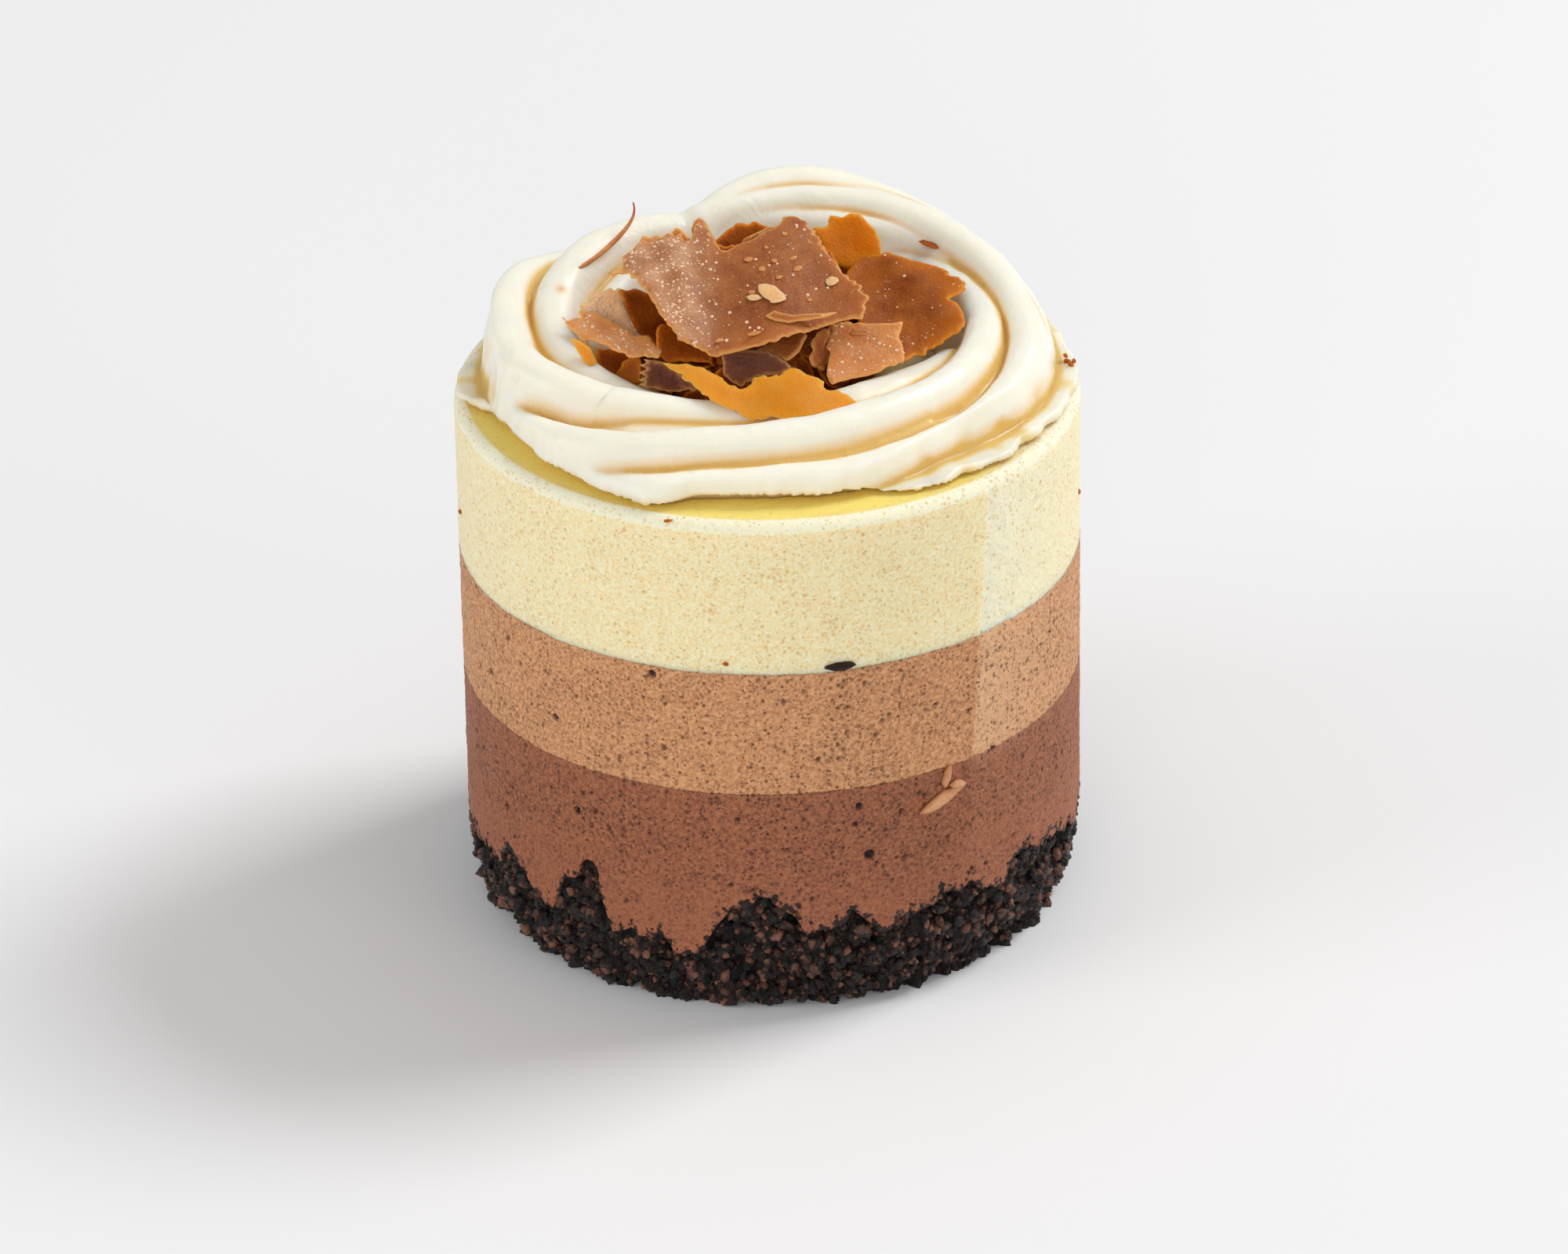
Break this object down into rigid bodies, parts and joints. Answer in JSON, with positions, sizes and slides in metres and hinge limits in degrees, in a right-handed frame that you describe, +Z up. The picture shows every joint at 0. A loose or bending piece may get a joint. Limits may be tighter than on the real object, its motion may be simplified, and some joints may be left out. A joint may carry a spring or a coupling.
{
  "type": "individual chocolate mousse cake",
  "caption": "Small round layered mousse cake on a crumbly dark sponge base, topped with a piped ring of cream and a loose heap of chocolate shavings.",
  "frame": {"origin": "centre of the sponge's flat underside", "axes": "+Z up, -Y the front that the picture shows, +X to the right seen from the front"},
  "size_m": [0.06, 0.06, 0.066],
  "materials": {
    "sponge": "moist, very crumbly dark chocolate sponge with small glossy facets",
    "dark_mousse": "matt dark chocolate mousse with fine pores and a few open bubbles",
    "milk_mousse": "matt milk chocolate mousse with fine pores",
    "white_mousse": "matt, soft white chocolate mousse of a pale cream yellow, finely porous",
    "cream": "smooth whipped cream, softly glossy, warm in the folds",
    "chocolate": "milk chocolate shavings with a soft sheen, pale worn edges and beads of moisture",
    "thin_chocolate": "very thin milk chocolate that lets light through and looks amber"
  },
  "bodies": {
    "root": {"sponge_base": "sponge", "dark_mousse": "dark_mousse", "milk_mousse": "milk_mousse", "white_mousse": "white_mousse", "cream_swirl": "cream", "shaving_heap": "chocolate", "shaving_top": "chocolate", "shaving_right": "chocolate", "shaving_back": "thin_chocolate", "shaving_middle": "chocolate", "shaving_front": "thin_chocolate", "shaving_curled": "chocolate", "shaving_leaf": "chocolate", "shaving_small": "thin_chocolate", "shaving_layered": "chocolate"}
  },
  "joints": []
}
